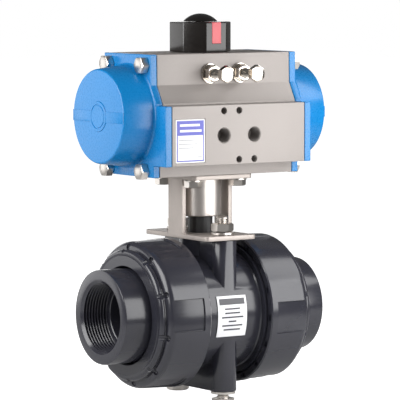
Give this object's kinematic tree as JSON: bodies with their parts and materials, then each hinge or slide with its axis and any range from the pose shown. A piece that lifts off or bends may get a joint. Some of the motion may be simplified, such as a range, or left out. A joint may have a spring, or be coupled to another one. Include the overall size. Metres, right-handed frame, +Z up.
{
  "type": "pneumatic actuated ball valve",
  "caption": "Rack and pinion pneumatic actuator on a steel bracket, turning a true union plastic ball valve with threaded ends.",
  "frame": {"origin": "where the stem's axis meets the pipe's axis, at the centre of the ball", "axes": "+X along the pipe and the actuator's cylinder, +Z up the stem to the actuator, -Y towards the air ports"},
  "size_m": [0.1612, 0.0995, 0.2587],
  "materials": {
    "dark_pvc": "glossy dark grey-blue moulded PVC",
    "white_ptfe": "white seat plastic",
    "seal_rubber": "black rubber",
    "black_stem": "satin black",
    "stainless_sheet": "matt rolled stainless sheet",
    "steel": "satin stainless fasteners",
    "plated_steel": "bright nickel plate",
    "spring_steel": "dark spring wire",
    "anodised_grey": "hard anodised extrusion, fine lines along its length",
    "cast_aluminium": "cast and machined",
    "cap_blue": "semi-gloss blue paint",
    "gloss_black": "glossy black moulding",
    "indicator_red": "red moulding",
    "label_white": "printed film"
  },
  "bodies": {
    "root": {"valve_body": "dark_pvc", "left_ball_seat": "white_ptfe", "right_ball_seat": "white_ptfe", "seat_carrier": "dark_pvc", "front_bracket_stud": "steel", "back_bracket_stud": "steel", "front_stud_washer": "steel", "back_stud_washer": "steel", "front_stud_nut": "steel", "back_stud_nut": "steel", "front_base_bolt": "steel", "back_base_bolt": "steel", "front_base_washer": "steel", "bracket": "stainless_sheet", "flange_bolt_1": "steel", "flange_bolt_2": "steel", "flange_bolt_3": "steel", "flange_bolt_4": "steel", "actuator_body": "anodised_grey", "name_label": "label_white", "caution_label": "label_white", "lower_pinion_bearing": "white_ptfe", "upper_pinion_bearing": "white_ptfe", "left_end_cap": "cap_blue", "right_end_cap": "cap_blue", "left_cap_bolt_front_low": "steel", "left_cap_bolt_front_high": "steel", "left_cap_bolt_back_low": "steel", "left_cap_bolt_back_high": "steel", "right_cap_bolt_front_low": "steel", "right_cap_bolt_front_high": "steel", "right_cap_bolt_back_low": "steel", "right_cap_bolt_back_high": "steel", "left_stop_washer": "plated_steel", "right_stop_washer": "plated_steel", "left_stop_locknut": "plated_steel", "right_stop_locknut": "plated_steel"},
    "shaft": {"pinion": "steel", "ball": "dark_pvc", "valve_stem": "black_stem", "stem_seal": "seal_rubber", "drive_coupling": "steel", "stop_cam": "steel", "indicator_body": "gloss_black", "indicator_insert": "indicator_red", "indicator_cap": "gloss_black"},
    "left_piston": {"left_piston": "cast_aluminium", "left_piston_seal": "seal_rubber", "left_spring": "spring_steel"},
    "right_piston": {"right_piston": "cast_aluminium", "right_piston_seal": "seal_rubber", "right_spring": "spring_steel"},
    "left_connector": {"left_end_connector": "dark_pvc", "left_face_seal": "seal_rubber"},
    "right_connector": {"right_end_connector": "dark_pvc", "right_face_seal": "seal_rubber"},
    "left_nut": {"left_union_nut": "dark_pvc"},
    "right_nut": {"right_union_nut": "dark_pvc"},
    "left_stop": {"left_stop_screw": "plated_steel"},
    "right_stop": {"right_stop_screw": "plated_steel"}
  },
  "joints": [
    {"name": "shaft_turn", "type": "hinge", "parent": "root", "child": "shaft", "pos_m": [0, 0, 0], "axis": [0, 0, 1], "range_deg": [0, 90], "stiffness_Nm_per_rad": 3, "springref_deg": -89.95},
    {"name": "left_piston_slide", "type": "slide", "parent": "root", "child": "left_piston", "axis": [-1, 0, 0], "range_m": [0, 0.0189], "deforming": ["left_spring"]},
    {"name": "left_connector_slide", "type": "slide", "parent": "root", "child": "left_connector", "axis": [-1, 0, 0], "range_m": [0, 0.0092]},
    {"name": "left_nut_turn", "type": "hinge", "parent": "left_connector", "child": "left_nut", "pos_m": [0, 0, 0], "axis": [-1, 0, 0], "range_deg": [0, 1080]},
    {"name": "left_stop_adjust", "type": "slide", "parent": "root", "child": "left_stop", "axis": [0, -1, 0], "range_m": [0, 0.004]},
    {"name": "right_piston_slide", "type": "slide", "parent": "root", "child": "right_piston", "axis": [1, 0, 0], "range_m": [0, 0.0189], "deforming": ["right_spring"]},
    {"name": "right_connector_slide", "type": "slide", "parent": "root", "child": "right_connector", "axis": [1, 0, 0], "range_m": [0, 0.0092]},
    {"name": "right_nut_turn", "type": "hinge", "parent": "right_connector", "child": "right_nut", "pos_m": [0, 0, 0], "axis": [1, 0, 0], "range_deg": [0, 1080]},
    {"name": "right_stop_adjust", "type": "slide", "parent": "root", "child": "right_stop", "axis": [0, -1, 0], "range_m": [0, 0.004]}
  ],
  "couplings": [
    {"joint": "left_piston_slide", "follows": "shaft_turn", "m_per_rad": 0.012},
    {"joint": "left_connector_slide", "follows": "left_nut_turn", "m_per_rad": 0.00047746},
    {"joint": "right_piston_slide", "follows": "shaft_turn", "m_per_rad": 0.012},
    {"joint": "right_connector_slide", "follows": "right_nut_turn", "m_per_rad": 0.00047746}
  ]
}
